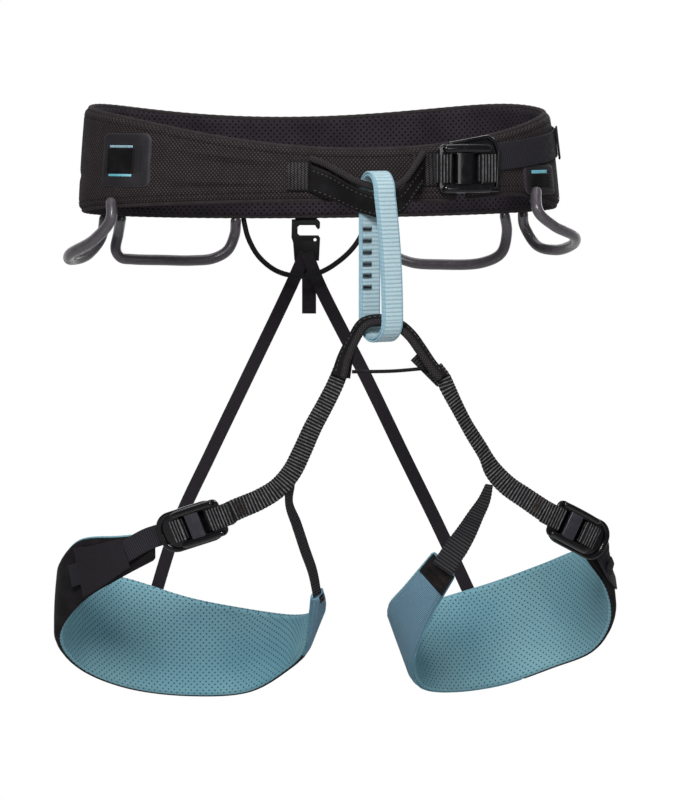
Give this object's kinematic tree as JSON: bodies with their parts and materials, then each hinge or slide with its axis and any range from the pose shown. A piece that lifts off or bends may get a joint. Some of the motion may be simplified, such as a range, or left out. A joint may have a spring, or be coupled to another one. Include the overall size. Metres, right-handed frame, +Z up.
{
  "type": "climbing harness",
  "caption": "Climbing harness with a padded waistbelt, speed buckles, gear loops, a belay loop and two padded leg loops on elastic risers.",
  "frame": {"origin": "middle of the waistbelt's ring, on the wearer's waist line", "axes": "+Z up, the wearer faces -Y, +X is the wearer's left"},
  "size_m": [0.4221, 0.2469, 0.4558],
  "materials": {
    "belt_fabric": "coarse hexagonal mesh weave, dark brown-grey",
    "belt_liner": "dimpled black spacer mesh",
    "foam": "closed-cell foam",
    "webbing": "ribbed black nylon webbing",
    "reinforcement": "black synthetic leather with stitched edges",
    "belay_webbing": "pale blue ribbed webbing with white threads",
    "pad_fabric": "teal dimpled spacer mesh",
    "loop_tube": "satin grey moulded tube",
    "buckle_alloy": "gloss black anodised",
    "hook_plastic": "matt black nylon"
  },
  "bodies": {
    "waistbelt": {"waist_shell": "belt_fabric", "waist_foam": "foam", "waist_liner": "belt_liner", "tie_in_anchor_left": "webbing", "tie_in_anchor_right": "webbing", "tie_in_strip": "reinforcement", "tie_in_roll": "webbing", "ice_clip_patch_front_left": "reinforcement", "ice_clip_patch_front_right": "reinforcement", "ice_clip_patch_rear_left": "reinforcement", "ice_clip_patch_rear_right": "reinforcement", "waist_tail_strap": "webbing", "waist_strap_keeper": "webbing", "waist_buckle_back_plate": "buckle_alloy", "rear_anchor_tab": "webbing"},
    "waist_buckle": {"waist_buckle_front_plate": "buckle_alloy", "waist_buckle_wrap_left": "webbing", "waist_buckle_wrap_right": "webbing"},
    "gear_loop_front_left": {"gear_loop_front_left": "loop_tube"},
    "gear_loop_front_right": {"gear_loop_front_right": "loop_tube"},
    "gear_loop_rear_left": {"gear_loop_rear_left": "loop_tube"},
    "gear_loop_rear_right": {"gear_loop_rear_right": "loop_tube"},
    "haul_loop": {"haul_loop": "webbing"},
    "belay_loop": {"belay_loop_outer": "belay_webbing", "belay_loop_inner": "belay_webbing"},
    "leg_bridge": {"leg_bridge_arch": "reinforcement", "leg_bridge_roll": "webbing", "leg_bridge_cross_strap": "webbing", "leg_bridge_tab": "webbing", "rear_hook": "hook_plastic", "rear_hook_tail": "webbing", "riser_left": "webbing", "riser_right": "webbing"},
    "left_leg": {"left_leg_webbing": "webbing", "left_leg_inner_strap": "webbing", "left_leg_tail_strap": "webbing", "left_leg_keeper_sleeve": "reinforcement", "left_leg_pad_shell": "webbing", "left_leg_pad_liner": "pad_fabric", "left_leg_end_patch": "reinforcement", "left_leg_buckle_back_plate": "buckle_alloy"},
    "right_leg": {"right_leg_webbing": "webbing", "right_leg_inner_strap": "webbing", "right_leg_tail_strap": "webbing", "right_leg_keeper_sleeve": "reinforcement", "right_leg_pad_shell": "webbing", "right_leg_pad_liner": "pad_fabric", "right_leg_end_patch": "reinforcement", "right_leg_buckle_back_plate": "buckle_alloy"},
    "left_leg_buckle": {"left_leg_buckle_front_plate": "buckle_alloy", "left_leg_buckle_wrap_left": "webbing", "left_leg_buckle_wrap_right": "webbing"},
    "right_leg_buckle": {"right_leg_buckle_front_plate": "buckle_alloy", "right_leg_buckle_wrap_left": "webbing", "right_leg_buckle_wrap_right": "webbing"}
  },
  "joints": [
    {"name": "waist_buckle_tilt", "type": "hinge", "parent": "waistbelt", "child": "waist_buckle", "pos_m": [0.08162, -0.09653, -0.005], "axis": [0, 0, -1], "range_deg": [0, 20], "stiffness_Nm_per_rad": 0.05, "springref_deg": -8.59},
    {"name": "left_leg_buckle_tilt", "type": "hinge", "parent": "left_leg", "child": "left_leg_buckle", "pos_m": [-0.06699, -0.10395, -0.25251], "axis": [-0.3653, -0.0329, 0.9303], "range_deg": [0, 20], "stiffness_Nm_per_rad": 0.05, "springref_deg": -8.59},
    {"name": "right_leg_buckle_tilt", "type": "hinge", "parent": "right_leg", "child": "right_leg_buckle", "pos_m": [0.16505, -0.0962, -0.25291], "axis": [-0.4253, -0.1645, -0.89], "range_deg": [0, 20], "stiffness_Nm_per_rad": 0.05, "springref_deg": -8.59},
    {"name": "gear_loop_front_left_flex", "type": "hinge", "parent": "waistbelt", "child": "gear_loop_front_left", "pos_m": [-0.1575, -0.0055, -0.026], "axis": [-0.0718, 0.9968, -0.0359], "range_deg": [0, 15], "stiffness_Nm_per_rad": 0.05},
    {"name": "gear_loop_front_right_flex", "type": "hinge", "parent": "waistbelt", "child": "gear_loop_front_right", "pos_m": [0.1525, 0.002, -0.027], "axis": [0.024, -0.9996, 0.016], "range_deg": [0, 15], "stiffness_Nm_per_rad": 0.05},
    {"name": "gear_loop_rear_left_flex", "type": "hinge", "parent": "waistbelt", "child": "gear_loop_rear_left", "pos_m": [-0.1065, 0.0845, -0.029], "axis": [0.9177, 0.3966, -0.0227], "range_deg": [0, 15], "stiffness_Nm_per_rad": 0.05},
    {"name": "gear_loop_rear_right_flex", "type": "hinge", "parent": "waistbelt", "child": "gear_loop_rear_right", "pos_m": [0.0935, 0.0895, -0.029], "axis": [0.9441, -0.329, 0.021], "range_deg": [0, 15], "stiffness_Nm_per_rad": 0.05},
    {"name": "haul_loop_swing", "type": "hinge", "parent": "waistbelt", "child": "haul_loop", "pos_m": [-0.012, 0.098, -0.046], "axis": [-1, 0, 0], "range_deg": [0, 30]},
    {"name": "belay_loop_swing", "type": "hinge", "parent": "waistbelt", "child": "belay_loop", "pos_m": [0.0435, -0.118, -0.03], "axis": [-1, 0, 0], "range_deg": [0, 18], "stiffness_Nm_per_rad": 2, "springref_deg": -8.59},
    {"name": "leg_bridge_swing", "type": "hinge", "parent": "belay_loop", "child": "leg_bridge", "pos_m": [0.0435, -0.118, -0.116], "axis": [-1, 0, 0], "range_deg": [0, 20], "stiffness_Nm_per_rad": 2, "springref_deg": -8.59},
    {"name": "left_leg_swing", "type": "hinge", "parent": "leg_bridge", "child": "left_leg", "pos_m": [0.013, -0.116, -0.156], "axis": [-1, 0, 0], "range_deg": [0, 20], "stiffness_Nm_per_rad": 1, "springref_deg": -8.59, "deforming": ["riser_left"]},
    {"name": "right_leg_swing", "type": "hinge", "parent": "leg_bridge", "child": "right_leg", "pos_m": [0.089, -0.116, -0.156], "axis": [-1, 0, 0], "range_deg": [0, 20], "stiffness_Nm_per_rad": 1, "springref_deg": -8.59, "deforming": ["riser_right"]}
  ]
}
